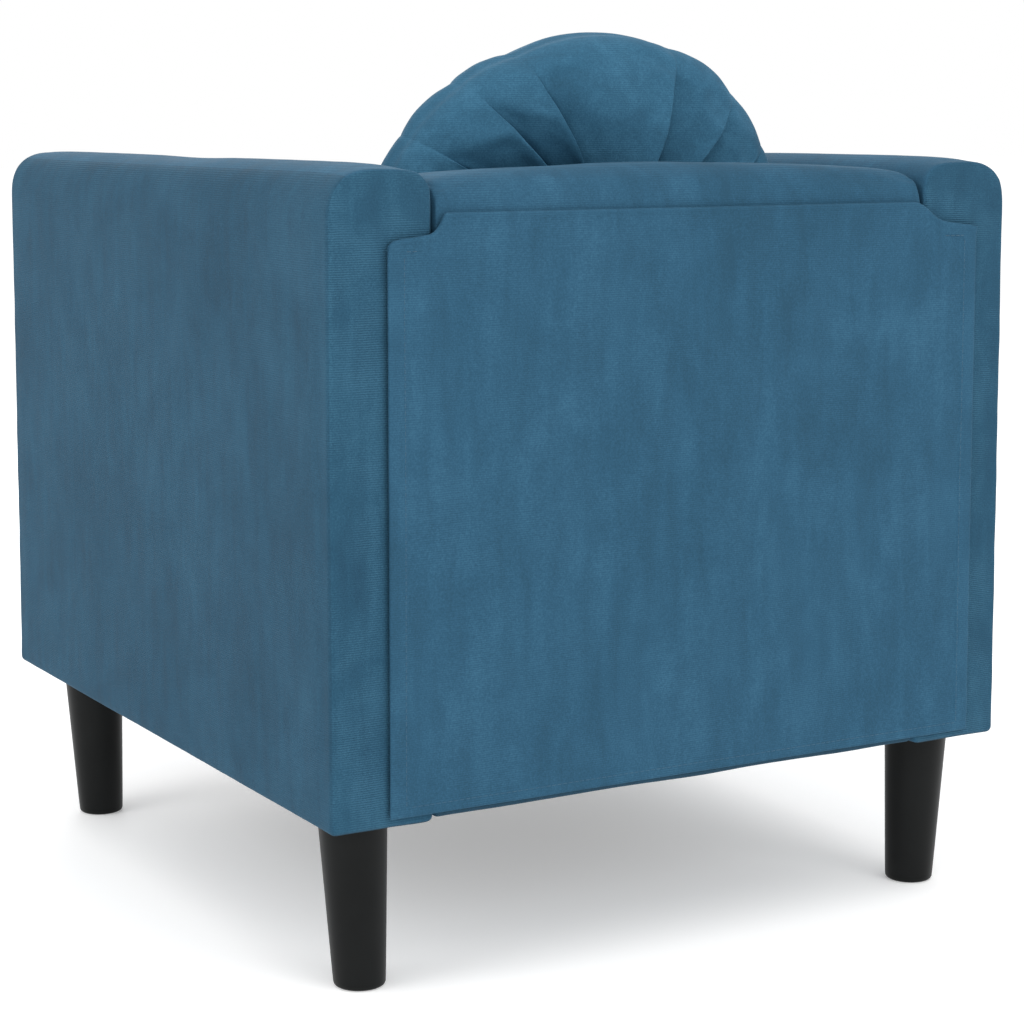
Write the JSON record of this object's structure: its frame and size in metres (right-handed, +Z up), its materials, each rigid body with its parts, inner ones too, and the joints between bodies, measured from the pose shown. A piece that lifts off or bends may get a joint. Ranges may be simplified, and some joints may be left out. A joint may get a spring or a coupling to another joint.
{
  "type": "upholstered armchair",
  "caption": "Low velvet armchair with slab arms, a boxed loose seat cushion, a loose round pleated cushion, tapered plastic legs and a cloth flap over its rear.",
  "frame": {"origin": "on the floor, under the middle of the chair's overall width and depth", "axes": "+Z up; -Y is the way the sitter faces, so +Y is the rear; +X is the sitter's left"},
  "size_m": [0.7, 0.775, 0.809],
  "materials": {
    "velvet": "short-pile slate blue velvet with soft vertical nap streaks",
    "leg_plastic": "satin moulded black plastic",
    "pine": "planed softwood",
    "plywood": "thin sanded board",
    "foam": "open-cell polyurethane foam",
    "fibre_fill": "polyester fibre",
    "steel": "zinc-plated",
    "dust_cloth": "spunbond black cloth",
    "hook_strip": "woven nylon tape"
  },
  "bodies": {
    "chair": {"back_board": "plywood", "back_bottom_rail": "pine", "back_cover": "velvet", "back_foam": "foam", "back_left_bolt": "steel", "back_left_post": "pine", "back_right_bolt": "steel", "back_right_post": "pine", "back_top_rail": "pine", "dust_cover": "dust_cloth", "front_left_leg": "leg_plastic", "front_left_leg_bolt": "steel", "front_right_leg": "leg_plastic", "front_right_leg_bolt": "steel", "left_arm_bottom_rail": "pine", "left_arm_cover": "velvet", "left_arm_foam": "foam", "left_arm_front_post": "pine", "left_arm_inner_board": "plywood", "left_arm_outer_board": "plywood", "left_arm_rear_post": "pine", "left_arm_top_rail": "pine", "rear_left_leg": "leg_plastic", "rear_left_leg_bolt": "steel", "rear_right_leg": "leg_plastic", "rear_right_leg_bolt": "steel", "right_arm_bottom_rail": "pine", "right_arm_cover": "velvet", "right_arm_foam": "foam", "right_arm_front_post": "pine", "right_arm_inner_board": "plywood", "right_arm_outer_board": "plywood", "right_arm_rear_post": "pine", "right_arm_top_rail": "pine", "seat_base_cover": "velvet", "seat_deck_foam": "foam", "seat_front_left_bolt": "steel", "seat_front_rail": "pine", "seat_front_right_bolt": "steel", "seat_left_rail": "pine", "seat_rear_left_bolt": "steel", "seat_rear_rail": "pine", "seat_rear_right_bolt": "steel", "seat_right_rail": "pine", "seat_spring_1": "steel", "seat_spring_2": "steel", "seat_spring_3": "steel", "seat_spring_4": "steel"},
    "rear_flap": {"rear_flap": "velvet", "left_hook_strip": "hook_strip", "right_hook_strip": "hook_strip", "bottom_hook_strip": "hook_strip"},
    "seat_cushion": {"seat_cushion_cover": "velvet", "seat_cushion_core": "foam", "seat_cushion_zip": "hook_strip"},
    "zip_slider": {"zip_slider": "steel"},
    "round_cushion": {"round_cushion_cover": "velvet", "round_cushion_fill": "fibre_fill", "round_cushion_front_button": "velvet", "round_cushion_rear_button": "velvet"}
  },
  "joints": [
    {"name": "flap_open", "type": "hinge", "parent": "chair", "child": "rear_flap", "pos_m": [0, 0.3835, 0.656], "axis": [1, 0, 0], "range_deg": [0, 120]},
    {"name": "seat_cushion_lift", "type": "slide", "parent": "chair", "child": "seat_cushion", "axis": [0, -0.5, 0.866], "range_m": [0, 0.35]},
    {"name": "round_cushion_lift", "type": "slide", "parent": "seat_cushion", "child": "round_cushion", "axis": [0, -0.5, 0.866], "range_m": [0, 0.3]},
    {"name": "zip_slide", "type": "slide", "parent": "seat_cushion", "child": "zip_slider", "axis": [1, 0, 0], "range_m": [0, 0.38]}
  ]
}
